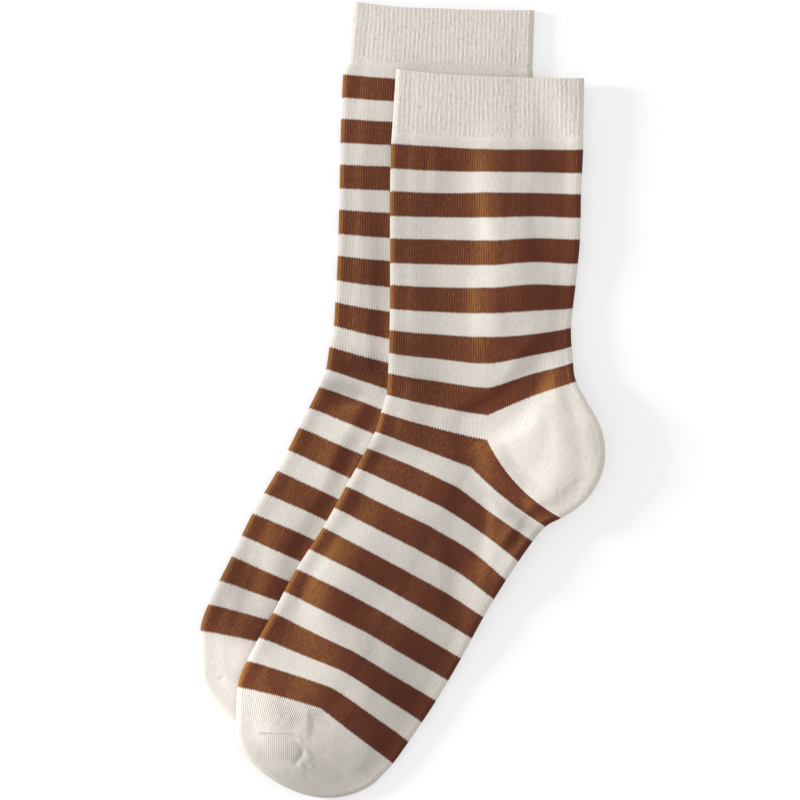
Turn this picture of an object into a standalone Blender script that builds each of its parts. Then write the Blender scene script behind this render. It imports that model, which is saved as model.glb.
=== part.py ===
"""A pair of knitted crew socks laid flat, one partly over the other.

Each sock is one knitted tube pressed flat: a ribbed cuff, a striped tube for leg and foot, and two
short-row pockets, the heel and the toe. Tables are in millimetres, the scene is in metres.
"""

import math
from collections import namedtuple
from functools import partial

import bpy
import numpy as np

MM = 0.001
TINY = 1e-9

# Cloth and seams
WALL = 1.2
FOLD_RADIUS = 1.75
FOLD_WIDTH = 3.2
SEAM_GAP = 0.3
REST_GAP = 0.75
STRIPE_PITCH = 22.5
TOE_PITCH = 14.0
STRIPE_SHARE = 0.5
STRIPES = 13
RIB_HEIGHT = 0.45
RIBS_ACROSS = 42

# How the upper sock comes down from the lower one to the table
RAMP_LENGTH = 38.0

# Soft fullness of a panel, by distance from its fold, less of it at the open edge of the cuff
LOFT = 0.7
LOFT_REACH = 18.0
EDGE_DIP = 0.2
EDGE_DIP_AT = 8.0
EDGE_DIP_WIDTH = 4.5
RELIEF_FADE = 9.0
LOWEST_RELIEF = -0.55
SOFTENING = 0.5
MOUTH_LOFT = 0.3
MOUTH_REACH = 45.0
PAST_MOUTH = 36.0

# Mesh density: columns of half a panel, rays of the two pockets, and the stripes around the ankle
# that have twice the courses
HALF_COLUMNS = 7
HEEL_RAYS = 8
TOE_RAYS = 12
FINE_FROM, FINE_TO = 4.0, 7.5
CUFF_ROWS = 2
OUTLINE_STEPS = 28
FLAT_COLUMNS = 5
FOLD_ANGLES = (90.0, 45.0, 0.0)
SHARP_ANGLE = 60.0

# The sock laid flat, about the front corner of its heel: +X to the heel, +Y to the cuff. A row is a
# knitted course, from the instep fold (front) over the middle wale to the heel or sole fold (back).
# "stripe" counts stripe pitches from the first stripe, and a bow lifts half a course to the toe.
Section = namedtuple(
    "Section", "name stripe front_x front_y mid_x mid_y back_x back_y front_bow back_bow"
)
LEG = [
    Section(*row)
    for row in (
        ("cuff_edge", -1.60, -43.7, 178.1, 1.4, 174.5, 46.6, 173.5, 0.8, 0.3),
        ("cuff_end", -0.17, -45.8, 145.7, 1.0, 143.4, 46.1, 143.2, 0.3, 0.0),
        ("stripe_1", 0.0, -46.1, 142.2, 1.2, 139.3, 46.1, 139.2, 0.2, 0.0),
        ("stripe_2", 1.0, -46.6, 119.3, 1.0, 118.6, 45.1, 117.8, 0.6, -0.2),
        ("stripe_3", 2.0, -46.6, 96.7, 1.0, 95.6, 44.6, 96.2, 0.0, -0.8),
        ("stripe_4", 3.0, -46.6, 74.4, 0.6, 73.0, 42.5, 74.2, 0.5, -1.0),
        ("stripe_5", 4.0, -46.8, 52.8, 0.5, 49.4, 40.3, 53.8, 0.5, 1.0),
        ("stripe_6", 5.0, -47.5, 32.2, 0.2, 25.0, 41.3, 37.2, 0.5, -0.3),
        ("ankle", 5.5, -48.2, 22.3, 0.1, 12.5, 42.5, 28.6, 0.8, -0.9),
        ("heel_start", 6.0, -50.9, 13.4, 0.0, 0.0, 48.8, 16.4, 0.7, -0.8),
    )
]
FOOT = [
    Section(*row)
    for row in (
        ("stripe_7", 6.0, -50.9, 13.4, 0.0, 0.0, 35.5, -37.4, 0.7, 4.2),
        ("instep", 6.5, -53.5, 4.6, -7.4, -12.6, 28.3, -41.3, 0.0, 1.5),
        ("stripe_8", 7.0, -57.6, -3.8, -13.8, -22.9, 21.8, -48.7, -0.7, 0.5),
        ("stripe_9", 8.0, -67.7, -22.1, -25.9, -42.2, 9.1, -67.2, 0.0, -1.7),
        ("stripe_10", 9.0, -78.7, -41.8, -38.7, -62.8, -1.7, -85.0, -0.2, -0.8),
        ("stripe_11", 10.0, -91.4, -61.7, -50.7, -82.1, -12.5, -104.9, -0.6, -0.1),
        ("stripe_12", 11.0, -102.7, -82.6, -63.0, -101.8, -24.5, -125.3, 0.2, 0.0),
        ("stripe_13", 12.0, -115.2, -105.8, -73.8, -119.0, -37.7, -145.0, -0.5, -0.5),
        ("toe_band", 12.5, -119.5, -117.6, -79.4, -128.1, -44.9, -155.0, -0.7, 0.0),
        ("toe_start", 13.3, -120.5, -140.2, -88.8, -143.0, -53.8, -164.6, 0.0, 0.0),
    )
]
# How far a pocket's outline stands out from, or falls short of, an even turn about its corner
HEEL_BULGE = 5.8
TOE_BULGE = -11.5

# Stripes over which the corner of the courses at the heel and toe softens to a smooth curve
CORNER_REACH = 1.6

# How each sock lies: the turn in degrees and the place of its leg and of its foot, about the heel
# corner, how much its cuff draws in at the front and back, how much longer it is than the table's, how
# far its top edge slants, and the stripe count where its ribs end
Lay = namedtuple(
    "Lay",
    "leg_turn foot_turn leg_x leg_y foot_x foot_y pinch_front pinch_back cuff_length cuff_slant rib_end",
)
LAYS = {
    "upper": Lay(0.0, 0.0, 41.8, -19.2, 41.8, -19.2, 0.0, 0.0, 1.0, 0.0, -0.17),
    "lower": Lay(-1.25, 2.39, 15.6, 12.9, 18.6, 12.4, 0.045, 0.03, 1.02, 0.029, -0.27),
}
PINCH_END = -0.36
ANKLE_FROM, ANKLE_TO = 5.0, 7.0

# The largest folds of each upper panel: a soft ridge or trough along a line, with its reach to the
# left and to the right of the line, and a height, which is under zero for a trough. A fold that is
# long for its width thins out towards both ends.
Fold = namedtuple("Fold", "name line left right height")
TAPER_SHARE = 0.3
FOLDS = {
    "upper": [
        Fold(*row)
        for row in (
            ("leg_ridge", ((52.0, 146.0), (51.0, 65.5), (49.0, 16.0), (47.0, 1.5)), 28.0, 17.0, 2.1),
            ("leg_trough", ((29.0, 146.0), (26.0, 65.5), (23.5, -6.0)), 16.0, 24.0, -1.8),
            (
                "ankle_trough",
                ((83.0, 28.5), (72.0, 17.5), (62.0, 6.5), (50.0, -4.0), (36.0, -11.5), (23.0, -20.0)),
                15.0,
                13.0,
                -3.2,
            ),
            ("heel_dome", ((76.0, 6.0), (67.0, -14.0), (72.0, -28.0)), 30.0, 34.0, 1.8),
            ("heel_dimple", ((88.0, -12.0), (88.0, -38.0)), 14.0, 16.0, -2.1),
            (
                "heel_seam_ridge",
                ((38.0, -14.0), (49.5, -35.0), (63.5, -47.5), (78.0, -57.0)),
                10.0,
                14.0,
                1.9,
            ),
            (
                "instep_ridge",
                ((12.0, -16.5), (17.5, -30.0), (17.0, -41.5), (4.5, -61.0)),
                20.0,
                12.0,
                0.6,
            ),
            (
                "sole_trough",
                (
                    (33.5, -34.5), (35.0, -52.5), (33.0, -64.5), (33.5, -78.5), (32.0, -92.5),
                    (29.0, -108.0),
                ),
                11.0,
                15.0,
                -2.0,
            ),
            ("sole_ridge", ((48.5, -45.5), (52.0, -62.0), (47.0, -77.0)), 11.0, 12.0, 2.2),
            (
                "foot_ridge",
                (
                    (3.0, -60.5), (-11.0, -66.5), (-24.0, -74.0), (-26.5, -85.0), (-31.0, -96.5),
                    (-33.5, -108.5), (-30.0, -122.5), (-31.5, -133.0), (-34.0, -143.0),
                    (-43.5, -164.5),
                ),
                22.5,
                20.5,
                2.6,
            ),
            (
                "mid_ridge",
                (
                    (8.0, -82.0), (5.5, -101.5), (-8.5, -118.0), (-12.5, -136.5), (-17.0, -154.0),
                    (-29.5, -166.0),
                ),
                24.0,
                19.0,
                1.2,
            ),
            (
                "edge_trough",
                (
                    (-3.0, -11.5), (-13.0, -35.0), (-31.0, -64.0), (-52.0, -98.0), (-58.0, -122.0),
                    (-54.5, -137.5), (-46.0, -154.0),
                ),
                16.0,
                6.8,
                -0.7,
            ),
            ("toe_pucker", ((-63.0, -168.5), (-53.0, -168.5)), 7.0, 7.5, 0.45),
            ("toe_band", ((-15.0, -160.0), (-17.0, -188.0)), 12.0, 12.0, 0.7),
        )
    ],
    "lower": [
        Fold(*row)
        for row in (
            (
                "under_edge",
                (
                    (-7.0, 120.0), (-8.0, 10.0), (-13.0, -8.0), (-37.0, -55.0), (-60.0, -98.0),
                    (-67.0, -112.0),
                ),
                6.0,
                8.0,
                -1.1,
            ),
            ("front_ridge", ((-19.5, 159.5), (-23.0, 76.5), (-27.0, 28.0)), 10.0, 8.0, 0.3),
            ("ankle_trough", ((-40.0, 2.0), (-30.0, 3.0), (-18.0, 6.0), (-4.5, 6.0)), 16.0, 12.0, -2.4),
            (
                "ankle_ridge",
                ((-8.5, -2.5), (-20.5, -14.5), (-31.5, -35.0), (-43.0, -49.5)),
                18.0,
                13.0,
                1.2,
            ),
            (
                "foot_ridge",
                ((-42.0, -47.5), (-56.5, -66.5), (-63.5, -89.5), (-74.0, -116.5), (-77.0, -133.5)),
                13.0,
                9.0,
                0.9,
            ),
        )
    ],
}
# Where a sock stands off the table: the upper one a little along its back, heel and sole
LIFTS = {
    "upper": [
        Fold(*row)
        for row in (
            ("heel_edge", ((96.0, -10.0), (91.0, -46.0)), 30.0, 30.0, 6.0),
            ("leg_edge", ((88.0, 200.0), (88.0, 34.0)), 30.0, 23.0, 2.8),
            ("sole_part", ((84.0, -42.0), (62.0, -76.0), (45.0, -100.0)), 24.0, 21.0, 3.2),
            ("sole_edge", ((80.0, -48.0), (50.0, -93.0), (20.0, -135.0)), 24.0, 24.0, 2.3),
        )
    ],
    "lower": [],
}

COLOURS = {"oatmeal": (0.72, 0.68, 0.62, 1.0), "rust": (0.17, 0.055, 0.025, 1.0)}


def rise(share):
    """An even ease from 0 to 1."""
    share = np.clip(share, 0.0, 1.0)
    return share * share * (3.0 - 2.0 * share)


def hermite(rows, read, stripe):
    """The smooth curve through one point of every section, at a stripe count."""
    places = [row.stripe for row in rows]
    points = np.array([read(row) for row in rows])
    i = min(max(int(np.searchsorted(places, stripe)) - 1, 0), len(rows) - 2)
    slopes = []
    for k in (i, i + 1):
        before, after = max(k - 1, 0), min(k + 1, len(rows) - 1)
        slopes.append((points[after] - points[before]) / (places[after] - places[before]))
    step = places[i + 1] - places[i]
    t = (stripe - places[i]) / step
    near = (1.0 + 2.0 * t) * (1.0 - t) ** 2 * points[i] + t * (1.0 - t) ** 2 * step * slopes[0]
    far = t * t * (3.0 - 2.0 * t) * points[i + 1] - t * t * (1.0 - t) * step * slopes[1]
    return near + far


def front(row):
    return row.front_x, row.front_y, row.front_bow


def mid(row):
    return row.mid_x, row.mid_y


def back(row):
    return row.back_x, row.back_y, row.back_bow


def straightness(stripe):
    """How smoothly a course crosses the middle wale: 0 at a pocket's corner, 1 away from it."""
    near = min(abs(stripe - FOOT[0].stripe), FOOT[-1].stripe - stripe)
    return float(rise(near / CORNER_REACH))


def half_course(half, part, stripe, share):
    """A flat point of half a course: share 0 is the middle wale, 1 the fold."""
    whole = LEG + FOOT[1:]
    centre = hermite(whole, mid, stripe)
    edges = {"front": hermite(whole, front, stripe), "back": hermite(part, back, stripe)}
    chords = {name: edge[:2] - centre for name, edge in edges.items()}
    lengths = {name: np.linalg.norm(chord) for name, chord in chords.items()}
    across = (chords["back"] - chords["front"]) / sum(lengths.values())
    sign = 1.0 if half == "back" else -1.0
    chord, length, bow = chords[half], lengths[half], edges[half][2]
    to_toe = sign * np.array((chord[1], -chord[0])) / length
    smooth = straightness(stripe)
    turned = smooth * (sign * across * length - chord)
    sharp_bow = 4.0 * share * (1.0 - share)
    soft_bow = sharp_bow * sharp_bow
    bent = (bow - float(turned @ to_toe) / 4.0) * (sharp_bow + (soft_bow - sharp_bow) * smooth)
    return centre + chord * share + turned * share * (1.0 - share) + to_toe * bent


def fan(start, end, bulge, corner, shifts, turn, share):
    """A flat point of a pocket that turns about its corner from one half course to another."""
    rays = [start(1.0) + shifts[0] - corner, end(1.0) + shifts[1] - corner]
    angles = [math.atan2(ray[1], ray[0]) for ray in rays]
    if angles[1] > angles[0]:
        angles[1] -= 2.0 * math.pi
    angle = angles[0] + (angles[1] - angles[0]) * turn
    lengths = [np.linalg.norm(ray) for ray in rays]
    reach = lengths[0] + (lengths[1] - lengths[0]) * turn + bulge * math.sin(math.pi * turn)
    point = corner + share * reach * np.array((math.cos(angle), math.sin(angle)))
    for curve, weight in ((start, 1.0 - turn), (end, turn)):
        chord = curve(0.0) + (curve(1.0) - curve(0.0)) * share
        point = point + weight * (curve(share) - chord)
    return point


def heel_point(turn, share, gap=0.0):
    """The heel turns from the last leg course to the first foot course, a gap inside both."""
    start = partial(half_course, "back", LEG, LEG[-1].stripe)
    end = partial(half_course, "back", FOOT, FOOT[0].stripe)
    rays = [curve(1.0) - curve(0.0) for curve in (start, end)]
    rays = [ray / np.linalg.norm(ray) for ray in rays]
    inward = [np.array((rays[0][1], -rays[0][0])), np.array((-rays[1][1], rays[1][0]))]
    bisector = rays[0] + rays[1]
    bisector = bisector / np.linalg.norm(bisector)
    corner = start(0.0) + bisector * gap / float(bisector @ inward[0])
    return fan(start, end, HEEL_BULGE, corner, [side * gap for side in inward], turn, share)


def toe_point(turn, share):
    """The toe turns from the sole half of the last foot course, round the tip, to its instep half."""
    start = partial(half_course, "back", FOOT, FOOT[-1].stripe)
    end = partial(half_course, "front", FOOT, FOOT[-1].stripe)
    return fan(start, end, TOE_BULGE, start(0.0), [0.0, 0.0], turn, share)


def laid(lay, stripe, point):
    """A flat point put where its sock lies, the foot turned against the leg at the ankle."""
    x, y = point
    edge, end = LEG[0].stripe, LEG[1].stripe
    pinch = lay.pinch_front if x < 0.0 else lay.pinch_back
    x *= 1.0 - pinch * float(rise(stripe / PINCH_END))
    if stripe < end:
        past = (end - stripe) / (end - edge)
        y = LEG[1].mid_y + (y - LEG[1].mid_y) * lay.cuff_length + lay.cuff_slant * x * past
    weight = float(rise((stripe - ANKLE_FROM) / (ANKLE_TO - ANKLE_FROM)))
    turn = math.radians(lay.leg_turn + (lay.foot_turn - lay.leg_turn) * weight)
    centre_x = lay.leg_x + (lay.foot_x - lay.leg_x) * weight
    centre_y = lay.leg_y + (lay.foot_y - lay.leg_y) * weight
    return np.array(
        (
            centre_x + x * math.cos(turn) - y * math.sin(turn),
            centre_y + x * math.sin(turn) + y * math.cos(turn),
        )
    )


def outline(lay):
    """The sock's outline as it lies, once round."""
    leg = np.linspace(LEG[0].stripe, LEG[-1].stripe, OUTLINE_STEPS)
    foot = np.linspace(FOOT[0].stripe, FOOT[-1].stripe, OUTLINE_STEPS)
    turns = np.linspace(1.0, 0.0, OUTLINE_STEPS)
    ring = [laid(lay, s, half_course("front", LEG, s, 1.0)) for s in (*leg, *foot)]
    ring += [laid(lay, FOOT[-1].stripe, toe_point(turn, 1.0)) for turn in turns]
    ring += [laid(lay, s, half_course("back", FOOT, s, 1.0)) for s in foot[::-1]]
    ring += [laid(lay, LEG[-1].stripe, heel_point(turn, 1.0)) for turn in turns]
    ring += [laid(lay, s, half_course("back", LEG, s, 1.0)) for s in leg[::-1]]
    return np.array(ring)


def line_distance(point, starts, ends):
    """The distance of a point from each of some straight lines."""
    along = ends - starts
    square = np.maximum((along**2).sum(axis=-1), TINY)
    share = np.clip(((point - starts) * along).sum(axis=-1) / square, 0.0, 1.0)
    return np.linalg.norm(point - starts - along * share[..., None], axis=-1)


def inside_distance(point, ring):
    """How far a point lies inside a closed outline, under zero outside it."""
    following = np.roll(ring, -1, axis=0)
    distance = line_distance(point, ring, following).min()
    crossing = (ring[:, 1] > point[1]) != (following[:, 1] > point[1])
    rows = following[crossing] - ring[crossing]
    hits = ring[crossing, 0] + (point[1] - ring[crossing, 1]) * rows[:, 0] / rows[:, 1]
    return distance if (hits > point[0]).sum() % 2 else -distance


def fold_height(point, folds):
    """The sum of soft ridges and troughs at a point."""
    total = 0.0
    for row in folds:
        line = np.array(row.line)
        along = np.diff(line, axis=0)
        lengths = np.linalg.norm(along, axis=-1)
        offsets = point - line[:-1]
        share = np.clip((offsets * along).sum(axis=-1) / lengths**2, 0.0, 1.0)
        distances = np.linalg.norm(offsets - along * share[:, None], axis=-1)
        k = int(distances.argmin())
        side = along[k, 0] * offsets[k, 1] - along[k, 1] * offsets[k, 0]
        travelled = (share[k] * lengths[k] + lengths[:k].sum()) / lengths.sum()
        slender = float(rise(lengths.sum() / (row.left + row.right) - 0.5))
        taper = 1.0 - slender * (1.0 - float(rise(min(travelled, 1.0 - travelled) / TAPER_SHARE)))
        near = distances[k] / (row.left if side > 0.0 else row.right)
        total += row.height * taper * max(1.0 - near * near, 0.0) ** 2
    return total


def past_mouth(ring):
    """An outline that runs on past the open edge of the cuff, where a panel has no fold."""
    past = (ring[0] - ring[1]) / np.linalg.norm(ring[0] - ring[1]) * PAST_MOUTH
    return np.concatenate((ring[:1] + past, ring, ring[-1:] + past))


RINGS = {name: outline(lay) for name, lay in LAYS.items()}
FOLD_RINGS = {name: past_mouth(ring) for name, ring in RINGS.items()}


def relief(sock, point):
    """How much an upper panel stands above a plain flat one."""
    inside = max(inside_distance(point, FOLD_RINGS[sock]), 0.0)
    from_mouth = float(line_distance(point, RINGS[sock][0], RINGS[sock][-1]))
    dip = EDGE_DIP * math.exp(-(((inside - EDGE_DIP_AT) / EDGE_DIP_WIDTH) ** 2))
    mouth = MOUTH_LOFT + (1.0 - MOUTH_LOFT) * float(rise(from_mouth / MOUTH_REACH))
    loft = LOFT * float(rise((inside - FOLD_WIDTH) / LOFT_REACH)) * mouth
    fade = float(rise((inside - FOLD_WIDTH) / RELIEF_FADE))
    height = loft - dip + fold_height(point, FOLDS[sock]) * mouth - LOWEST_RELIEF
    return fade * (LOWEST_RELIEF + (height + math.hypot(height, SOFTENING)) / 2.0)


def underside(sock, point):
    """The height of a sock's underside: the table, or the sock that it lies on."""
    base = fold_height(point, LIFTS[sock])
    if sock == "upper":
        beyond = max(-inside_distance(point, RINGS["lower"]), 0.0)
        carried = 2.0 * FOLD_RADIUS + REST_GAP + relief("lower", point)
        share = min(beyond / RAMP_LENGTH, 1.0)
        base += carried * (1.0 - (share + float(rise(share))) / 2.0)
    return base


def half_panel(sock, stripe, flat, columns, depth):
    """Half a section: upper and lower points from the middle wale to the fold, at a depth in."""
    lay = LAYS[sock]
    inset = FOLD_WIDTH / np.linalg.norm(flat(1.0) - flat(0.0))
    radius = FOLD_RADIUS - depth
    upper, lower = [], []
    for i in range(columns):
        point = laid(lay, stripe, flat((1.0 - inset) * i / columns))
        middle = underside(sock, point) + FOLD_RADIUS
        upper.append((*point, middle + radius + relief(sock, point)))
        lower.append((*point, middle - radius))
    middle = underside(sock, laid(lay, stripe, flat(1.0 - inset))) + FOLD_RADIUS
    for angle in np.radians(FOLD_ANGLES):
        reach = 1.0 - inset + inset * math.cos(angle) * (FOLD_WIDTH - depth) / FOLD_WIDTH
        point = laid(lay, stripe, flat(reach))
        upper.append((*point, middle + radius * math.sin(angle)))
        lower.append((*point, middle - radius * math.sin(angle)))
    return upper, lower


def full_ring(sock, part, stripe, depth, upper_columns=HALF_COLUMNS, lower_columns=HALF_COLUMNS):
    """A whole course of the tube, from the front fold over the upper panel and back under."""
    halves = {}
    for half in ("front", "back"):
        flat = partial(half_course, half, part, stripe)
        upper = half_panel(sock, stripe, flat, upper_columns, depth)[0]
        lower = half_panel(sock, stripe, flat, lower_columns, depth)[1]
        halves[half] = upper, lower
    ring = halves["front"][0][::-1] + halves["back"][0][1:]
    return ring + halves["back"][1][-2::-1] + halves["front"][1][1:-1]


def half_ring(sock, stripe, flat, depth):
    """Half a course: from the middle wale of the upper panel round the fold to the lower one's."""
    upper, lower = half_panel(sock, stripe, flat, HALF_COLUMNS, depth)
    return upper + lower[-2::-1]


class Wall:
    """A knitted wall: an outer and an inner surface with the same faces, and the rims between."""

    def __init__(self):
        self.outer = []
        self.inner = []
        self.faces = []
        self.brown = []

    def add(self, outer, inner):
        first = len(self.outer)
        self.outer.extend(outer)
        self.inner.extend(inner)
        return list(range(first, len(self.outer)))

    def join(self, near, far, closed, brown=False):
        """Faces between two rows of points, facing out. A point that both share makes triangles."""
        count = len(near) if closed else len(near) - 1
        for i in range(count):
            j = (i + 1) % len(near)
            corners = (near[i], far[i], far[j], near[j])
            self.faces.append([c for k, c in enumerate(corners) if c != corners[k - 1]])
            self.brown.append(brown)

    def rims(self):
        """Quads from the outer to the inner surface along every open edge."""
        edges = [(a, b) for face in self.faces for a, b in zip(face, face[1:] + face[:1])]
        known = set(edges)
        count = len(self.outer)
        return [[b, a, a + count, b + count] for a, b in edges if (b, a) not in known]

    def mesh(self, name, origin):
        count = len(self.outer)
        points = (np.array(self.outer + self.inner) - origin) * MM
        lining = [[c + count for c in reversed(face)] for face in self.faces]
        mesh = bpy.data.meshes.new(name)
        mesh.from_pydata(points.tolist(), [], self.faces + lining + self.rims())
        return mesh


def is_brown(stripe):
    """Whether the courses that follow this stripe count are brown ones."""
    return 0.0 <= stripe < STRIPES and stripe % 1.0 < STRIPE_SHARE


def courses(first, last):
    """Stripe counts of the courses that are modelled: stripe edges, with more at the ankle."""
    fine = STRIPE_SHARE / 2.0
    stripes = first + fine * np.arange(round((last - first) / fine) + 1)
    return [s for s in stripes if s % STRIPE_SHARE == 0.0 or FINE_FROM < s < FINE_TO]


def tube_wall(sock):
    """Leg and foot: full courses, with a slot at the back between them for the heel."""
    wall = Wall()

    def course(part, stripe):
        return [full_ring(sock, part, stripe, depth) for depth in (0.0, WALL)]

    leg = [LAYS[sock].rib_end + SEAM_GAP / STRIPE_PITCH, *courses(0.0, LEG[-1].stripe)]
    toe_seam = FOOT[-1].stripe - SEAM_GAP / TOE_PITCH
    foot = courses(FOOT[0].stripe, FOOT[-2].stripe)
    foot += [(FOOT[-2].stripe + toe_seam) / 2.0, toe_seam]
    rows = [wall.add(*course(LEG, stripe)) for stripe in leg]
    for near, far, stripe in zip(rows, rows[1:], leg):
        wall.join(near, far, True, is_brown(stripe))
    front_corner = HALF_COLUMNS + len(FOLD_ANGLES) - 1
    slot = slice(front_corner + 1, len(rows[-1]) - front_corner)
    near = list(rows[-1])
    near[slot] = wall.add(*[ring[slot] for ring in course(FOOT, foot[0])])
    for stripe, following in zip(foot, foot[1:]):
        far = wall.add(*course(FOOT, following))
        wall.join(near, far, True, is_brown(stripe))
        near = far
    return wall


def pocket_wall(sock, stripe, flat, rays):
    """A heel or toe pocket: half courses that turn about one corner of each panel."""
    wall = Wall()
    near = None
    for turn in np.linspace(0.0, 1.0, rays + 1):
        ray = [half_ring(sock, stripe, partial(flat, turn), depth) for depth in (0.0, WALL)]
        if near is None:
            corners = wall.add(*[[layer[0], layer[-1]] for layer in ray])
        far = [corners[0], *wall.add(*[layer[1:-1] for layer in ray]), corners[1]]
        if near is not None:
            wall.join(near, far, False)
        near = far
    return wall


def cuff_wall(sock):
    """The cuff: every second column of its upper outer points is the crest of a rib."""
    wall = Wall()
    near = None
    for stripe in np.linspace(LEG[0].stripe, LAYS[sock].rib_end, CUFF_ROWS + 1):
        layers = [
            full_ring(sock, LEG, stripe, depth, RIBS_ACROSS, FLAT_COLUMNS) for depth in (0.0, WALL)
        ]
        for column in range(len(FOLD_ANGLES), len(FOLD_ANGLES) + 2 * RIBS_ACROSS, 2):
            x, y, z = layers[0][column]
            layers[0][column] = (x, y, z + RIB_HEIGHT)
        far = wall.add(*layers)
        if near is not None:
            wall.join(near, far, True)
        near = far
    return wall


def principled(name, colour):
    """Matt cotton of one colour."""
    material = bpy.data.materials.new(name)
    material.use_nodes = True
    shader = material.node_tree.nodes["Principled BSDF"]
    shader.inputs["Base Color"].default_value = colour
    shader.inputs["Roughness"].default_value = 0.9
    shader.inputs["Metallic"].default_value = 0.0
    return material


def cloth_object(name, wall, colours, origin, collection):
    """One knitted piece, its brown courses in a material of their own."""
    mesh = wall.mesh(name, origin)
    for colour in colours:
        mesh.materials.append(principled(f"{name}_{colour}", COLOURS[colour]))
    if len(colours) > 1:
        for polygon, brown in zip(mesh.polygons, wall.brown):
            polygon.material_index = int(brown)
    mesh.shade_smooth()
    mesh.set_sharp_from_angle(angle=math.radians(SHARP_ANGLE))
    obj = bpy.data.objects.new(name, mesh)
    collection.objects.link(obj)


def build_sock(sock, origin, collection):
    """The four pieces of a sock, from cuff to toe."""
    heel = partial(heel_point, gap=SEAM_GAP)
    pieces = {
        "cuff": (cuff_wall(sock), ["oatmeal"]),
        "tube": (tube_wall(sock), ["oatmeal", "rust"]),
        "heel": (pocket_wall(sock, LEG[-1].stripe, heel, HEEL_RAYS), ["oatmeal"]),
        "toe": (pocket_wall(sock, FOOT[-1].stripe, toe_point, TOE_RAYS), ["oatmeal"]),
    }
    for name, (wall, colours) in pieces.items():
        cloth_object(f"{sock}_{name}", wall, colours, origin, collection)


def main():
    """Both socks, their origin under the middle of their outline."""
    for obj in list(bpy.data.objects):
        bpy.data.objects.remove(obj, do_unlink=True)
    collection = bpy.data.collections.new("pair_of_socks")
    bpy.context.scene.collection.children.link(collection)
    both = np.concatenate(list(RINGS.values()))
    middle = (both.min(axis=0) + both.max(axis=0)) / 2.0
    origin = np.array((*middle, 0.0))
    for sock in LAYS:
        build_sock(sock, origin, collection)


main()
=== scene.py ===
import math
from functools import partial

import bpy
import numpy as np
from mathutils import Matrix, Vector


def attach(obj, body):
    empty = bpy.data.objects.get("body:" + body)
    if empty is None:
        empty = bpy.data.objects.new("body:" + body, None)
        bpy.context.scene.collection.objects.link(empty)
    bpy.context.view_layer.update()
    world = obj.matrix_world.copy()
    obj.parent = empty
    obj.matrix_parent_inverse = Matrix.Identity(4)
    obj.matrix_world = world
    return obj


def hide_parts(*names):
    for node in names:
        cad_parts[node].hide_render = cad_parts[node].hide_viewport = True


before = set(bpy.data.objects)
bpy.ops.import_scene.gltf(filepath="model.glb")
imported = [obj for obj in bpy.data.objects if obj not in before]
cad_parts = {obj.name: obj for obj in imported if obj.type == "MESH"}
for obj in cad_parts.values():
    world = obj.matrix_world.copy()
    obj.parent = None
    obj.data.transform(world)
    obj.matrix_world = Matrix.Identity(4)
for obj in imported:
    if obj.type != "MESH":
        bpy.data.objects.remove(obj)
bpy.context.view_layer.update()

# A pair of crew socks in fine cotton knit, laid flat, one partly over the other. Each is one knitted
# tube: every point of it has a wale (round the sock) and a course (along it), and the stripes, ribs
# and stitches follow those two. Tables are in millimetres, meshes in metres.

mm = 0.001

cloth = {
    "wall": 1.2,
    "foldRadius": 1.75,
    "foldWidth": 3.2,       # a fold is flatter than round
    "restGap": 0.75,        # between the two socks
    "stripePitch": 22.5,
    "halfWales": 42,        # wales from the middle of a panel to its fold
    "coursesPerStripe": 30,     # brown and oatmeal together
    "rampLength": 38.0,     # over which the upper sock comes down beside the lower one
    "loft": 0.7,            # of the middle over the edges
    "loftReach": 18.0,
    "edgeDip": 0.22,        # faint trough along the folds
    "edgeDipAt": 7.0,
    "edgeDipWidth": 2.4,
    "reliefFade": 9.0,      # ridges and troughs die out towards the edge
    "wander": 0.13,         # of a ridge or trough, as a share of its reach
    "wanderLength": (11.0, 17.0),
    "thinEnds": 0.3,        # of a long ridge or trough, as a share of its length
    "lowestRelief": -0.55,  # deeper, the panels would meet
    "softening": 0.5,
    "mouthLoft": 0.3,       # the open mouth lies flatter than the rest
    "mouthReach": 45.0,
    "outlineSteps": 28,
    "heelSeam": 1.3,        # courses by which the leg is oatmeal before the heel
}

knit = {
    "plainWales": 0.8,      # how far the wales stand out on flat cloth
    "walesHidden": 0.8,     # how far they sink where the courses show
    "brownShare": 0.528,    # of a stripe's pitch
    "brownFrom": -0.06,     # stripes at which the brown ones begin and end
    "brownTo": 12.9,
    "tooth": 2.5,           # courses that a stripe's edge steps at each wale
    "unevenTeeth": 0.3,
    "heelCourses": 50,
    "toeCourses": 140,
    "gatherPitch": 1.02 * mm,   # of the small pleats at the toe's seam
    "wale": 0.09 * mm,
    "pocketWales": 0.22,    # heels and toes are knitted closer
    "walesStart": 10.0,     # how fast wales start below the cuff, and ribs end
    "ribsEnd": 5.0,
    "rimPlain": 1.4,        # and how fast they end over the turned edge
    "rib": 0.115 * mm,
    "lumps": 0.30 * mm,
}

mesh = {
    "perWale": 4,           # columns to a wale on the side that shows
    "fineTo": 45,           # wale at which the underside's wider columns begin
    "rowStep": 1.7,         # millimetres along the sock
    "liningRows": 3,        # outer rows to one row of the lining
    "heelRays": 54,
    "toeRays": 162,
    "cuffRows": 24,
    "rimSteps": 6,
    "sharpAngle": 70.0,
}

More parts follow.
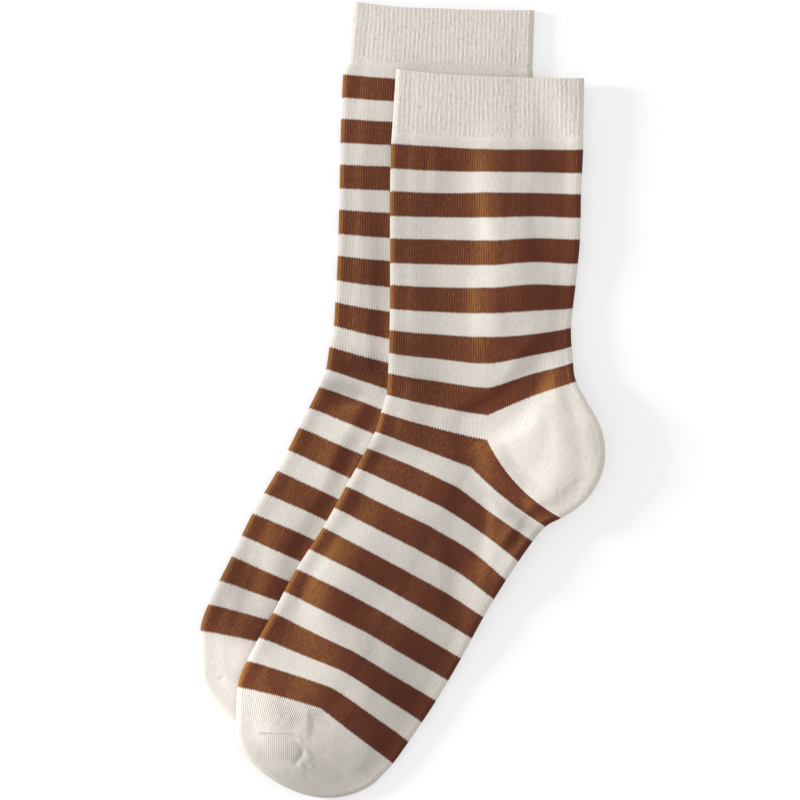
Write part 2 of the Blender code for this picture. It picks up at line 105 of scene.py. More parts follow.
# The sock laid flat, about the front corner of its heel: +X to the heel, +Y to the cuff
sectionColumns = (
    "stripe", "frontX", "frontY", "midX", "midY", "backX", "backY", "frontBow", "backBow"
)
legSections = np.array((
    (-1.60, -43.7, 178.1, 1.4, 174.5, 46.6, 173.5, 0.8, 0.3),     # cuff edge
    (-0.17, -45.8, 145.7, 1, 143.4, 46.1, 143.2, 0.3, 0),     # cuff end
    (0, -46.1, 142.2, 1.2, 139.3, 46.1, 139.2, 0.2, 0),
    (1, -46.6, 119.3, 1, 118.6, 45.1, 117.8, 0.6, -0.2),
    (2, -46.6, 96.7, 1, 95.6, 44.6, 96.2, 0, -0.8),
    (3, -46.6, 74.4, 0.6, 73, 42.5, 74.2, 0.5, -1),
    (4, -46.8, 52.8, 0.5, 49.4, 40.3, 53.8, 0.5, 1),
    (5, -47.5, 32.2, 0.2, 25, 41.3, 37.2, 0.5, -0.3),
    (5.5, -48.2, 22.3, 0.1, 12.5, 42.5, 28.6, 0.8, -0.9),         # ankle
    (6, -50.9, 13.4, 0, 0, 48.8, 16.4, 0.7, -0.8),          # heel start
))
footSections = np.array((
    (6, -50.9, 13.4, 0, 0, 35.5, -37.4, 0.7, 4.2),
    (6.5, -53.5, 4.6, -7.4, -12.6, 28.3, -41.3, 0, 1.5),        # instep
    (7, -57.6, -3.8, -13.8, -22.9, 21.8, -48.7, -0.7, 0.5),
    (8, -67.7, -22.1, -25.9, -42.2, 9.1, -67.2, 0, -1.7),
    (9, -78.7, -41.8, -38.7, -62.8, -1.7, -85, -0.2, -0.8),
    (10, -91.4, -61.7, -50.7, -82.1, -12.5, -104.9, -0.6, -0.1),
    (11, -102.7, -82.6, -63, -101.8, -24.5, -125.3, 0.2, 0),
    (12, -115.2, -105.8, -73.8, -119, -37.7, -145, -0.5, -0.5),
    (12.5, -119.5, -117.6, -79.4, -128.1, -44.9, -155, -0.7, 0),   # toe band
    (13.3, -120.5, -140.2, -88.8, -143, -53.8, -164.6, 0, 0),    # toe start
))
heelStripe = 6.0
toeStripe = 13.3
cuffEdge = -1.60
heelBulge = 5.8                 # how much rounder than a plain fan the heel is, and the toe flatter
toeBulge = -11.5
cornerReach = 1.6               # stripes over which a course's corner is rounded

# How each sock lies: turns in degrees, places about the heel corner, how much the cuff draws in at its
# front and back, and how its top edge lengthens and slants
lays = {
    "upper": {
        "legTurn": 0.0, "footTurn": 0.0, "leg": (41.8, -19.2), "foot": (41.8, -19.2),
        "pinch": (0.0, 0.0), "cuffLength": 1.0, "cuffSlant": 0.0, "ribEnd": -0.17,
    },
    "lower": {
        "legTurn": -1.25, "footTurn": 2.39, "leg": (15.6, 12.9), "foot": (18.6, 12.4),
        "pinch": (0.045, 0.03), "cuffLength": 1.02, "cuffSlant": 0.029, "ribEnd": -0.27,
    },
}
pinchEnd = -0.36                # stripe at which the cuff is fully drawn in
ankle = (5.0, 7.0)              # stripes between which the foot turns against the leg

# Soft ridges and troughs of the laid cloth: the points each runs along, how far it reaches to the left
# and right of that line, and its height
folds = {
    "upper": {
        "legRidge": (((52, 146), (51, 65.5), (49, 16), (47, 1.5)), (28, 17), 2.1),
        "legTrough": (((29, 146), (26, 65.5), (23.5, -6)), (16, 24), -1.8),
        "smallLegRidge": (((18.5, 123.5), (16, 95)), (16, 6), 0.7),
        "ankleTrough": (
            ((83, 28.5), (72, 17.5), (62, 6.5), (50, -4), (36, -11.5), (23, -20)), (15, 13), -3.2,
        ),
        "heelDome": (((76, 6), (67, -14), (72, -28)), (30, 34), 1.8),
        "heelDimple": (((88, -12), (88, -38)), (14, 16), -2.1),
        "heelSeamRidge": (((38, -14), (49.5, -35), (63.5, -47.5), (78, -57)), (10, 14), 1.9),
        "instepRidge": (((12, -16.5), (17.5, -30), (17, -41.5), (4.5, -61)), (20, 12), 0.6),
        "soleTrough": (
            ((33.5, -34.5), (35, -52.5), (33, -64.5), (33.5, -78.5), (32, -92.5), (29, -108)),
            (11, 15), -2,
        ),
        "soleRidge": (((48.5, -45.5), (52, -62), (47, -77)), (11, 12), 2.2),
        "footRidge": (
            (
                (3, -60.5), (-11, -66.5), (-24, -74), (-26.5, -85), (-31, -96.5), (-33.5, -108.5),
                (-30, -122.5), (-31.5, -133), (-34, -143), (-43.5, -164.5),
            ),
            (22.5, 20.5), 2.6,
        ),
        "midRidge": (
            ((8, -82), (5.5, -101.5), (-8.5, -118), (-12.5, -136.5), (-17, -154), (-29.5, -166)),
            (24, 19), 1.2,
        ),
        "edgeTrough": (
            ((-3, -11.5), (-13, -35), (-31, -64), (-52, -98), (-58, -122), (-54.5, -137.5), (-46, -154)),
            (16, 6.8), -0.7,
        ),
        "seamRidge": (((-77, -159), (-66, -159.6), (-55, -159.4), (-47.5, -161)), (1.9, 1.9), 0.3),
        "seamTrough": (((-66, -162.1), (-55, -162.4), (-49.5, -163.2)), (1.6, 1.8), -0.2),
        "toePucker": (((-63, -168.5), (-53, -168.5)), (7, 7.5), 0.45),
        "puckerEdge": (((-46.4, -165.6), (-47.2, -170.5), (-51.8, -176)), (1.6, 2.4), -0.4),
        "puckerRim": (((-44, -167.5), (-44.9, -171.6), (-49.6, -177.6)), (2.6, 1.8), 0.2),
        "seamKnob": (((-49, -161.6), (-47, -164.6)), (1.8, 1.8), 0.3),
        "creaseRidge": (((-45.6, -146.5), (-44.4, -155), (-45.4, -163.5)), (2.7, 7.5), 0.75),
        "toeLine": (((-45.4, -166.6), (-40, -169.4), (-33, -170)), (1.8, 1.6), -0.25),
        "toeSpot": (((-44.9, -169.6), (-43.2, -171.4)), (2.4, 2.4), 0.25),
        "smallBulge": (((-62.9, -176.4), (-53.3, -180.4)), (3.4, 3.2), 0.75),
        "smallWrinkle": (((-46.6, -179.2), (-43, -181.4)), (1.9, 1.9), -0.3),
        "crinkle": (((-45.5, -172.5), (-41, -176.5)), (1.6, 1.6), 0.2),
        "secondCrinkle": (((-49, -173), (-45.6, -178.6)), (1.6, 1.6), 0.16),
        "rimLine": (((-70.5, -170.4), (-67, -175.6)), (1.5, 1.5), -0.4),
        "lowerRimLine": (((-54, -182.2), (-47.4, -185.4)), (1.5, 1.5), -0.4),
        "toeBand": (((-15, -160), (-17, -188)), (12, 12), 0.7),
    },
    "lower": {
        "underEdge": (
            ((-7, 120), (-8, 10), (-13, -8), (-37, -55), (-60, -98), (-67, -112)), (6, 8), -1.1,
        ),
        "pressedLine": (((0, 160.8), (32, 158), (60, 155.6)), (3.5, 3.5), -0.55),
        "frontRidge": (((-19.5, 159.5), (-23, 76.5), (-27, 28)), (10, 8), 0.3),
        "ankleTrough": (((-40, 2), (-30, 3), (-18, 6), (-4.5, 6)), (16, 12), -2.4),
        "ankleRidge": (((-8.5, -2.5), (-20.5, -14.5), (-31.5, -35), (-43, -49.5)), (18, 13), 1.2),
        "footRidge": (
            ((-42, -47.5), (-56.5, -66.5), (-63.5, -89.5), (-74, -116.5), (-77, -133.5)), (13, 9), 0.9,
        ),
        "toeSeam": (((-93, -135.6), (-88.4, -134.9), (-83.4, -132.9)), (1.5, 1.5), -0.55),
    },
}
# Where the wales stand out more, as on the folds, with deeper painted shade in their grooves
waleShows = {
    "upper": {
        "toe": (((-64, -148), (-42, -152)), (13, 13), 2.4),
        "stripes": (((-70, -130), (-52, -90), (-20, -45)), (20, 20), 0.4),
    },
    "lower": {"foot": (((-80, -100), (-50, -40)), (20, 20), 0.4)},
}
# Where the toe's seam gathers the cloth into small upright pleats
gathers = {
    "upper": {"toePatch": (((-62, -168), (-53, -168)), (9, 9), 1.6)},
    "lower": {},
}
# The linked seam that closes the toe, from its end to the corner of the toe, and a second short row
seams = {
    "upper": {
        "row": ((-67, -159.5), (-55, -159.5), (-47.2, -161.2)),
        "shortRow": ((-61.6, -158), (-55.4, -157.9)),
    },
    "lower": {},
}
# How far each sock's stripes are stretched towards the cuff, in millimetres at each stripe
stripeShifts = {
    "upper": ((0, 0), (13.3, 0)),
    "lower": (
        (0, 0.4), (1, 2), (2, 2.6), (3, 3.3), (4, 2.8), (5, 1.1), (6, 0.15), (7, 0.15),
        (8, -0.8), (9, -1.35), (10, -1.45), (11, -0.6), (11.5, 0), (13.3, 0),
    ),
}
# Painted light and shade: where the cloth is painted paler, over 0, or greyer, under 0
paintedLightAndShade = {
    "upper": {
        "heel": (((55, -15), (63, -36)), (27, 30), 1),
        "heelTop": (((84, 12), (92, -4)), (20, 20), 0.5),
        "heelSeam": (((45, -44), (56, -54), (70, -66)), (9, 9), -0.7),
        "heelLow": (((96, -34), (91, -44), (81, -54), (71, -61)), (8, 8), 0.65),
        "toeLeft": (((-74, -136), (-71, -154)), (36, 27), 1.15),
        "toePatch": (((-54, -160), (-46, -172)), (14, 14), -0.45),
        "toeRight": (((-58, -192), (-38, -188), (-24, -176)), (26, 26), -0.9),
        "sole": (((3, -100), (-4, -160)), (30, 30), -0.55),
        "footMiddle": (((18, -52), (11, -76), (3, -104)), (14, 14), -0.5),
        "footLeft": (((4, -20), (-8, -24), (-21, -29)), (8, 8), -0.7),
        "legLeft": (((11, 150), (9, -6)), (16, 15), -0.35),
        "legMiddle": (((31, 125), (33, 96), (43, 67), (44, 45), (42, 20)), (8, 8), 0.6),
        "legRight": (((81, 162), (80, 46)), (10, 10), 0.6),
        "ankleRight": (((70, 80), (69, 52), (68, 24)), (11, 11), 0.45),
        "legFront": (((0, 146), (-3, 20)), (8, 8), -0.3),
        "ankleFront": (((0, 27), (18, 11)), (16, 16), -0.45),
        "ankleLeft": (((14, 22), (9, -6), (4, -34)), (13, 13), -0.75),
    },
    "lower": {
        "toe": (((-92, -120), (-90, -150)), (26, 26), 1),
        "legFront": (((-29, 150), (-30, 30)), (9, 9), -0.5),
        "legMiddle": (((-13, 150), (-17, 20)), (9, 9), -0.45),
        "ankle": (((-40, 20), (-20, 15), (6, 11)), (14, 8), -0.9),
        "ankleCrease": (((-50, 7.5), (-34, 5), (-14, 2.5)), (8, 8), -1.05),
        "instep": (((-39, 3), (-44, -7), (-50, -21)), (8, 8), -0.65),
        "footEdge": (((-75, -72), (-77, -86), (-77, -104), (-79, -122)), (11, 7), -0.85),
        "footFront": (((-60, -20), (-82, -70), (-88, -96), (-94, -124)), (11, 9), -0.6),
        "besideUpper": (((-13, 2), (-25, -20)), (8, 8), 0.7),
        "besideToe": (((-71, -112), (-77, -134)), (9, 9), 0.8),
    },
}
# Where the courses show more than the wales, with painted shade along their grooves
courseShows = {
    "upper": {"heel": (((74, -33), (88, -48), (70, -57)), (15, 15), 1.2)},
    "lower": {},
}
# Where a sock is held off the table, by the cloth inside its heel and along its edges
lifts = {
    "upper": {
        "heelEdge": (((96, -10), (91, -46)), (30, 30), 6),
        "legEdge": (((88, 200), (88, 34)), (30, 23), 2.8),
        "solePart": (((84, -42), (62, -76), (45, -100)), (24, 21), 3.2),
        "soleEdge": (((80, -48), (50, -93), (20, -135)), (24, 24), 2.3),
    },
    "lower": {},
}

def ease(share):
    share = np.clip(share, 0.0, 1.0)
    return share * share * (3.0 - 2.0 * share)

def smoothCurve(sections, names, stripe):
    # the columns of a table at any stripe, smoothly between its rows
    places = sections[:, 0]
    points = sections[:, [sectionColumns.index(name) for name in names]]
    last = len(places) - 1
    i = min(max(int(np.searchsorted(places, stripe)) - 1, 0), last - 1)
    slopes = []
    for k in (i, i + 1):
        before, after = max(k - 1, 0), min(k + 1, last)
        slopes.append((points[after] - points[before]) / (places[after] - places[before]))
    step = places[i + 1] - places[i]
    t = (stripe - places[i]) / step
    near = (1.0 + 2.0 * t) * (1.0 - t) ** 2 * points[i] + t * (1.0 - t) ** 2 * step * slopes[0]
    far = t * t * (3.0 - 2.0 * t) * points[i + 1] - t * t * (1.0 - t) * step * slopes[1]
    return near + far

def halfCourse(half, sections, stripe, share):
    # flat points of half a course: share 0 is the middle wale, 1 the fold
    whole = np.concatenate((legSections, footSections[1:]))
    share = np.asarray(share, float)[..., None]
    centre = smoothCurve(whole, ("midX", "midY"), stripe)
    edges = {
        "front": smoothCurve(whole, ("frontX", "frontY", "frontBow"), stripe),
        "back": smoothCurve(sections, ("backX", "backY", "backBow"), stripe),
    }
    chords = {name: edge[:2] - centre for name, edge in edges.items()}
    lengths = {name: np.linalg.norm(chord) for name, chord in chords.items()}
    across = (chords["back"] - chords["front"]) / sum(lengths.values())
    sign = 1.0 if half == "back" else -1.0
    chord, length, bow = chords[half], lengths[half], edges[half][2]
    toToe = sign * np.array((chord[1], -chord[0])) / length
    near = min(abs(stripe - heelStripe), toeStripe - stripe)
    smooth = float(ease(near / cornerReach))     # courses have a corner only at the heel and toe
    turned = smooth * (sign * across * length - chord)
    sharpBow = 4.0 * share * (1.0 - share)
    bend = (bow - float(turned @ toToe) / 4.0) * (sharpBow + (sharpBow**2 - sharpBow) * smooth)
    return centre + chord * share + turned * share * (1.0 - share) + toToe * bend

def fan(start, end, bulge, turn, share):
    # flat points of a pocket that turns about its corner from one half course to another
    share = np.asarray(share, float)
    corner = start(0.0)
    rays = [start(1.0) - corner, end(1.0) - corner]
    angles = [math.atan2(ray[1], ray[0]) for ray in rays]
    if angles[1] > angles[0]:
        angles[1] -= 2.0 * math.pi
    angle = angles[0] + (angles[1] - angles[0]) * turn
    lengths = [np.linalg.norm(ray) for ray in rays]
    reach = lengths[0] + (lengths[1] - lengths[0]) * turn + bulge * math.sin(math.pi * turn)
    points = corner + share[..., None] * reach * np.array((math.cos(angle), math.sin(angle)))
    for curve, weight in ((start, 1.0 - turn), (end, turn)):
        chord = curve(0.0) + (curve(1.0) - curve(0.0)) * share[..., None]
        points = points + weight * (curve(share) - chord)
    return points

heelPoints = partial(
    fan,
    partial(halfCourse, "back", legSections, heelStripe),
    partial(halfCourse, "back", footSections, heelStripe),
    heelBulge,
)
toePoints = partial(
    fan,
    partial(halfCourse, "back", footSections, toeStripe),
    partial(halfCourse, "front", footSections, toeStripe),
    toeBulge,
)

def laid(sock, stripe, flat):
    # flat points put where the sock lies, the foot turned against the leg at the ankle
    lay = lays[sock]
    x, y = flat[..., 0], flat[..., 1]
    pinch = np.where(x < 0.0, *lay["pinch"]) * float(ease(stripe / pinchEnd))
    x = x * (1.0 - pinch)
    ribEnd, ribEndY = legSections[1, 0], legSections[1, 4]
    past = max(ribEnd - stripe, 0.0) / (ribEnd - cuffEdge)
    if past:
        y = ribEndY + (y - ribEndY) * lay["cuffLength"] + lay["cuffSlant"] * x * past
    weight = float(ease((stripe - ankle[0]) / (ankle[1] - ankle[0])))
    turn = math.radians(lay["legTurn"] + (lay["footTurn"] - lay["legTurn"]) * weight)
    centre = np.array(lay["leg"]) * (1.0 - weight) + np.array(lay["foot"]) * weight
    turned = (x * math.cos(turn) - y * math.sin(turn), x * math.sin(turn) + y * math.cos(turn))
    return centre + np.stack(turned, axis=-1)

def outline(sock):
    # the edge of the laid sock, from the front of its mouth round the toe and heel to the back of it
    leg = np.linspace(cuffEdge, heelStripe, cloth["outlineSteps"])
    foot = np.linspace(heelStripe, toeStripe, cloth["outlineSteps"])
    turns = np.linspace(1.0, 0.0, cloth["outlineSteps"])
    ring = [laid(sock, s, halfCourse("front", legSections, s, 1.0)) for s in (*leg, *foot)]
    ring += [laid(sock, toeStripe, toePoints(turn, 1.0)) for turn in turns]
    ring += [laid(sock, s, halfCourse("back", footSections, s, 1.0)) for s in foot[::-1]]
    ring += [laid(sock, heelStripe, heelPoints(turn, 1.0)) for turn in turns]
    ring += [laid(sock, s, halfCourse("back", legSections, s, 1.0)) for s in leg[::-1]]
    return np.array(ring)

outlines = {sock: outline(sock) for sock in lays}
mouths = {sock: (ring[None, 0], ring[None, -1]) for sock, ring in outlines.items()}
sideOutlines = {}
for sock, ring in outlines.items():
    # the cuff's edge is open, so the outline that the relief fades towards runs on past it
    past = (ring[0] - ring[1]) / np.linalg.norm(ring[0] - ring[1]) * 2.0 * cloth["loftReach"]
    sideOutlines[sock] = np.concatenate((ring[:1] + past, ring, ring[-1:] + past))
bothOutlines = np.concatenate(list(outlines.values()))
middle = (bothOutlines.min(axis=0) + bothOutlines.max(axis=0)) / 2.0

def lineDistance(points, starts, ends):
    along = ends - starts
    square = np.maximum((along**2).sum(axis=-1), 1e-9)
    offsets = points[..., None, :] - starts
    share = np.clip((offsets * along).sum(axis=-1) / square, 0.0, 1.0)
    return np.linalg.norm(offsets - along * share[..., None], axis=-1)

def insideDistance(points, ring):
    # how far points lie inside a closed outline, under zero outside it
    following = np.roll(ring, -1, axis=0)
    distance = lineDistance(points, ring, following).min(axis=-1)
    x, y = points[..., 0, None], points[..., 1, None]
    crossing = (ring[:, 1] > y) != (following[:, 1] > y)
    rise = np.where(following[:, 1] == ring[:, 1], 1.0, following[:, 1] - ring[:, 1])
    hits = ring[:, 0] + (y - ring[:, 1]) * (following[:, 0] - ring[:, 0]) / rise
    inside = (crossing & (hits > x)).sum(axis=-1) % 2 == 1
    return np.where(inside, distance, -distance)

def foldHeight(points, table):
    # what the ridges and troughs of a table add up to at each point
    total = np.zeros(points.shape[:-1])
    straight = points
    for line, reaches, height in table.values():
        wander = np.sin((straight[..., ::-1] + straight) / cloth["wanderLength"])
        points = straight + cloth["wander"] * min(reaches) * wander      # a wide fold wanders more
        line = np.array(line, float)
        starts, along = line[:-1], np.diff(line, axis=0)
        lengths = np.linalg.norm(along, axis=-1)
        offsets = points[..., None, :] - starts
        share = np.clip((offsets * along).sum(axis=-1) / lengths**2, 0.0, 1.0)
        distance = np.linalg.norm(offsets - along * share[..., None], axis=-1)
        side = along[:, 0] * offsets[..., 1] - along[:, 1] * offsets[..., 0]
        nearest = distance.argmin(axis=-1)[..., None]

        def atNearest(values):
            return np.take_along_axis(values, nearest, axis=-1)[..., 0]

        travelled = share * lengths + np.concatenate(((0.0,), np.cumsum(lengths)[:-1]))
        travelled = atNearest(travelled) / lengths.sum()
        slender = ease(lengths.sum() / sum(reaches) - 0.5)     # only a long fold thins out at its ends
        fromEnd = np.minimum(travelled, 1.0 - travelled)
        taper = 1.0 - slender * (1.0 - ease(fromEnd / cloth["thinEnds"]))
        reach = np.where(atNearest(side) > 0.0, *reaches)
        near = atNearest(distance) / reach
        total += height * taper * np.maximum(1.0 - near * near, 0.0) ** 2
    return total

def relief(sock, points):
    # how far the upper panel stands above its flat height
    inside = np.maximum(insideDistance(points, sideOutlines[sock]), 0.0)
    fromMouth = lineDistance(points, *mouths[sock])[..., 0]
    dip = cloth["edgeDip"] * np.exp(-(((inside - cloth["edgeDipAt"]) / cloth["edgeDipWidth"]) ** 2))
    mouth = cloth["mouthLoft"] + (1.0 - cloth["mouthLoft"]) * ease(fromMouth / cloth["mouthReach"])
    loft = cloth["loft"] * ease((inside - cloth["foldWidth"]) / cloth["loftReach"]) * mouth
    fade = ease((inside - cloth["foldWidth"]) / cloth["reliefFade"])
    height = loft - dip + foldHeight(points, folds[sock]) * mouth - cloth["lowestRelief"]
    return fade * (cloth["lowestRelief"] + (height + np.hypot(height, cloth["softening"])) / 2.0)

def underside(sock, points):
    # how high a sock's lower panel lies: on the table, or on the other sock and down beside it
    base = foldHeight(points, lifts[sock])
    if sock == "upper":
        beyond = -insideDistance(points, outlines["lower"])
        carried = 2.0 * cloth["foldRadius"] + cloth["restGap"] + relief("lower", points)
        share = np.clip(beyond / cloth["rampLength"], 0.0, 1.0)
        base += carried * (1.0 - (share + ease(share)) / 2.0)
    return base

def halfRing(sock, stripe, flat, wales, depth):
    # half a course round the sock, and which way is out: wale 0 is the middle of the upper panel, twice
    # halfWales the middle of the lower one, and depth goes into the wall
    radius, width = cloth["foldRadius"], cloth["foldWidth"]
    reach = np.linalg.norm(flat(1.0) - flat(0.0))
    flatLength = reach - width
    quarter = math.pi / 2.0 * math.hypot(radius, width) / math.sqrt(2.0)
    halfLength = flatLength + quarter
    upper = wales <= cloth["halfWales"]
    along = halfLength * np.where(upper, wales, 2 * cloth["halfWales"] - wales) / cloth["halfWales"]
    angle = np.clip((along - flatLength) / quarter, 0.0, 1.0) * math.pi / 2.0
    baseShare = np.minimum(along, flatLength) / reach
    side = np.where(upper, 1.0, -1.0) * np.cos(angle)
    base = laid(sock, stripe, flat(baseShare))
    place = laid(sock, stripe, flat(baseShare + np.sin(angle) * (width - depth) / reach))
    height = underside(sock, base) + radius + (radius - depth) * side
    height += np.where(upper, relief(sock, base), 0.0)
    edge = laid(sock, stripe, flat(np.array((flatLength / reach, 1.0))))
    outward = (edge[1] - edge[0]) / np.linalg.norm(edge[1] - edge[0])
    points = np.column_stack((place - middle, height)) * mm
    wales = knit["plainWales"] + foldHeight(base, waleShows[sock])
    courses = np.where(upper, np.minimum(foldHeight(base, courseShows[sock]), 1.0), 0.0)
    wales = wales * (1.0 - knit["walesHidden"] * courses)
    # painted light and shade at each point
    tones = foldHeight(base, paintedLightAndShade[sock])
    gather = np.where(upper, np.minimum(foldHeight(base, gathers[sock]), 1.0), 0.0)
    return np.column_stack((points, np.sin(angle)[:, None] * outward, side, wales, courses, tones, gather))

outerWales = np.concatenate((
    np.arange(0, mesh["fineTo"] * mesh["perWale"]) / mesh["perWale"],
    np.arange(mesh["fineTo"], 2 * cloth["halfWales"] + 1.0),
))
liningWales = np.arange(0, 2 * cloth["halfWales"] + 1.0)
# the outer face and the lining: wales, depth in the wall, and outer rows to one of theirs
layers = ((outerWales, 0.0, 1), (liningWales, cloth["wall"], mesh["liningRows"]))

def addObject(name, data):
    made = bpy.data.objects.new(name, data)
    bpy.context.scene.collection.objects.link(made)
    return made

def corner(row, k):
    return row[0][k], row[1][k], row[2]

class Shell:
    # a knitted wall: rows of points with their wales and course, joined by faces

    def __init__(self):
        self.points = []
        self.outward = []
        self.painted = {name: [] for name in ("wale", "rise", "rows", "paintedShading", "gather")}
        self.faces = []
        self.uvs = []

    def addRow(self, points, wales, course, rise, closed=False):
        first = len(self.points)
        count = len(points) - 1 if closed else len(points)
        self.points.extend(points[:count, :3])
        self.outward.extend(points[:count, 3:6])
        columns = (wales, points[:, 6] * rise, *points[:, 7:].T)
        for painted, value in zip(self.painted.values(), columns):
            painted.extend(value[:count])
        ids = list(range(first, first + count)) + ([first] if closed else [])
        return ids, wales, course

    def addFace(self, corners):
        kept = [c for k, c in enumerate(corners) if c[0] != corners[k - 1][0]]
        self.faces.append([c[0] for c in kept])
        self.uvs.extend(c[1:] for c in kept)

    def join(self, near, far, inward=False):
        for i in range(len(near[0]) - 1):
            corners = [corner(near, i), corner(far, i), corner(far, i + 1), corner(near, i + 1)]
            self.addFace(corners[::-1] if inward else corners)

    def joinAll(self, rows, inward=False):
        for near, far in zip(rows, rows[1:]):
            self.join(near, far, inward)

    def joinLining(self, outer, lining, atStart):
        # the rim between a row of the outer face and the wider-spaced row of the lining
        k = 0
        for i in range(len(lining[0]) - 1):
            corners = [corner(lining, i + 1), corner(lining, i)]
            while outer[1][k] < lining[1][i + 1]:
                corners.append(corner(outer, k))
                k += 1
            corners.append(corner(outer, k))
            self.addFace(corners if atStart else corners[::-1])

    def build(self, name):
        made = bpy.data.meshes.new(name)
        made.from_pydata(np.array(self.points).tolist(), [], self.faces)
        uv = made.uv_layers.new(name="knit")
        uv.data.foreach_set("uv", np.array(self.uvs, np.float32).ravel())
        for attribute, values in self.painted.items():
            data = made.attributes.new(attribute, "FLOAT", "POINT").data
            data.foreach_set("value", np.array(values, np.float32))
        out = made.attributes.new("outward", "FLOAT_VECTOR", "POINT").data
        out.foreach_set("vector", np.array(self.outward, np.float32).ravel())
        made.shade_smooth()
        made.set_sharp_from_angle(angle=math.radians(mesh["sharpAngle"]))
        return addObject(name, made)

def fullWales(half):
    # wales all round, under 0 on the front half and over 0 on the back one
    return np.concatenate((-half[::-1], half[1:]))

def fullRing(sock, sections, stripe, half, depth):
    front, back = (
        halfRing(sock, stripe, partial(halfCourse, side, sections, stripe), half, depth)
        for side in ("front", "back")
    )
    return np.concatenate((front[::-1], back[1:]))

def courseOf(sock, stripe):
    # the course that the yarn's pattern has at a stripe of the outline
    shift = float(np.interp(stripe, *zip(*stripeShifts[sock])))
    return (stripe + shift / cloth["stripePitch"]) * cloth["coursesPerStripe"]

def stripeSteps(first, last, every):
    count = max(round((last - first) * cloth["stripePitch"] / (mesh["rowStep"] * every)), 1)
    return np.linspace(first, last, count + 1)

def cutRow(row, first, end=None, early=0.0):
    # part of a row, its course told some courses early
    return row[0][first:end], row[1][first:end], row[2] - early

def buildTube(sock):
    # the leg and foot, outer face and lining, with a slot at the back for the heel
    shell = Shell()
    ribEnd = lays[sock]["ribEnd"]
    ends = []
    for wales, depth, every in layers:
        ring = fullWales(wales)
        rows = []
        for stripe in stripeSteps(ribEnd, heelStripe, every):
            points = fullRing(sock, legSections, stripe, wales, depth)
            fade = 0.0 if depth else float(ease((stripe - ribEnd) * knit["walesStart"]))
            rows.append(shell.addRow(points, ring, courseOf(sock, stripe), fade, closed=True))
        split = len(wales) - 1
        for near, far in zip(rows, rows[1:]):
            shell.join(cutRow(near, 0, split + 1), cutRow(far, 0, split + 1), inward=depth > 0.0)
            early = cloth["heelSeam"] if far is rows[-1] else 0.0      # the heel's first course is oatmeal
            shell.join(cutRow(near, split), cutRow(far, split, early=early), inward=depth > 0.0)
        # the foot starts on the leg's front half and a back half of its own, and the heel fills the gap
        legEnd = rows[-1]
        points = fullRing(sock, footSections, heelStripe, wales, depth)[split + 1:-1]
        rise = 0.0 if depth else 1.0
        slot = shell.addRow(points, ring[split + 1:-1], courseOf(sock, heelStripe), rise)
        ids = legEnd[0][: split + 1] + slot[0] + [legEnd[0][0]]
        footStart = near = (ids, ring, courseOf(sock, heelStripe))
        for stripe in stripeSteps(heelStripe, toeStripe, every)[1:]:
            points = fullRing(sock, footSections, stripe, wales, depth)
            far = shell.addRow(points, ring, courseOf(sock, stripe), rise, closed=True)
            shell.join(near, far, inward=depth > 0.0)
            near = far
        ends.append((rows[0], legEnd, footStart, near, split))
    (top, legEnd, footStart, toe, split), (inTop, inLegEnd, inFootStart, inToe, inSplit) = ends
    shell.joinLining(top, inTop, True)
    shell.joinLining(toe, inToe, False)
    early = cloth["heelSeam"]
    shell.joinLining(cutRow(legEnd, split, early=early), cutRow(inLegEnd, inSplit, early=early), False)
    shell.joinLining(cutRow(footStart, split), cutRow(inFootStart, inSplit), True)
    return shell.build(f"{sock}_striped_tube")

def buildPocket(sock, name, stripe, flat, rays, courses):
    # a heel or toe: half courses that turn about one corner of each panel
    shell = Shell()
    ends = []
    startCourse = courseOf(sock, stripe)
    for wales, depth, every in layers:
        rows = []
        rise = 0.0 if depth else knit["pocketWales"]
        corners = None
        for turn in np.linspace(0.0, 1.0, rays // every + 1):
            points = halfRing(sock, stripe, partial(flat, turn), wales, depth)
            course = startCourse + turn * courses
            if corners is None:
                first = shell.addRow(points, wales, course, rise)
                corners = first[0][0], first[0][-1]
                rows.append(first)
                continue
            inner = shell.addRow(points[1:-1], wales[1:-1], course, rise)
            rows.append(([corners[0]] + inner[0] + [corners[1]], wales, course))
        shell.joinAll(rows, inward=depth > 0.0)
        ends.append((rows[0], rows[-1]))
    (start, end), (inStart, inEnd) = ends
    shell.joinLining(start, inStart, True)
    shell.joinLining(end, inEnd, False)
    return shell.build(f"{sock}_{name}")

